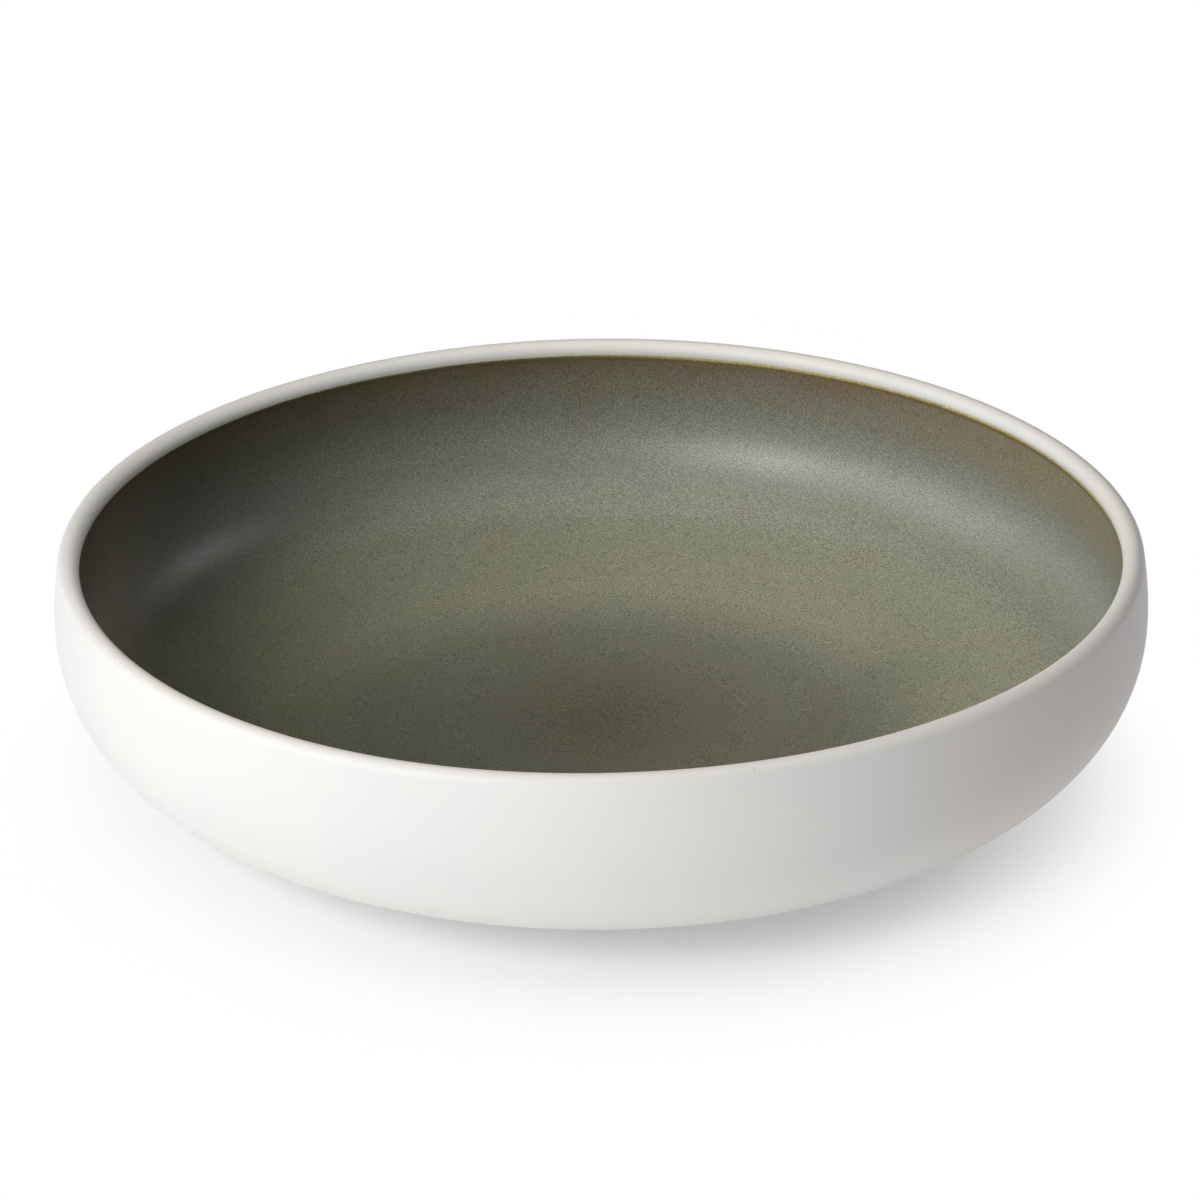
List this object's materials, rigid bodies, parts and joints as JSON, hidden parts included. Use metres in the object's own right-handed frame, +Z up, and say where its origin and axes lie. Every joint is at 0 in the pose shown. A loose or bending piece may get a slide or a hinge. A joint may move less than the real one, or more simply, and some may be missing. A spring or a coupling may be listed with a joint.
{
  "type": "deep plate",
  "caption": "Round coupe deep plate in glazed stoneware, with an upright wall, a full-round rim and a low bare foot ring, for soups, pasta, salads and shallow serving.",
  "frame": {"origin": "middle of the foot ring's flat underside, on the surface that the plate stands on", "axes": "+Z up along the plate's turning axis, towards the open rim; X and Y are level and alike"},
  "size_m": [0.28, 0.28, 0.06],
  "materials": {
    "bare_stoneware": "fired bare clay, ground smooth on the foot ring",
    "white_glaze": "matt to satin white glaze",
    "green_glaze": "satin grey-green reactive glaze that breaks brown at its edge"
  },
  "bodies": {
    "root": {"stoneware_body": "bare_stoneware", "white_wall_glaze": "white_glaze", "white_recess_glaze": "white_glaze", "green_glaze_lining": "green_glaze"}
  },
  "joints": []
}
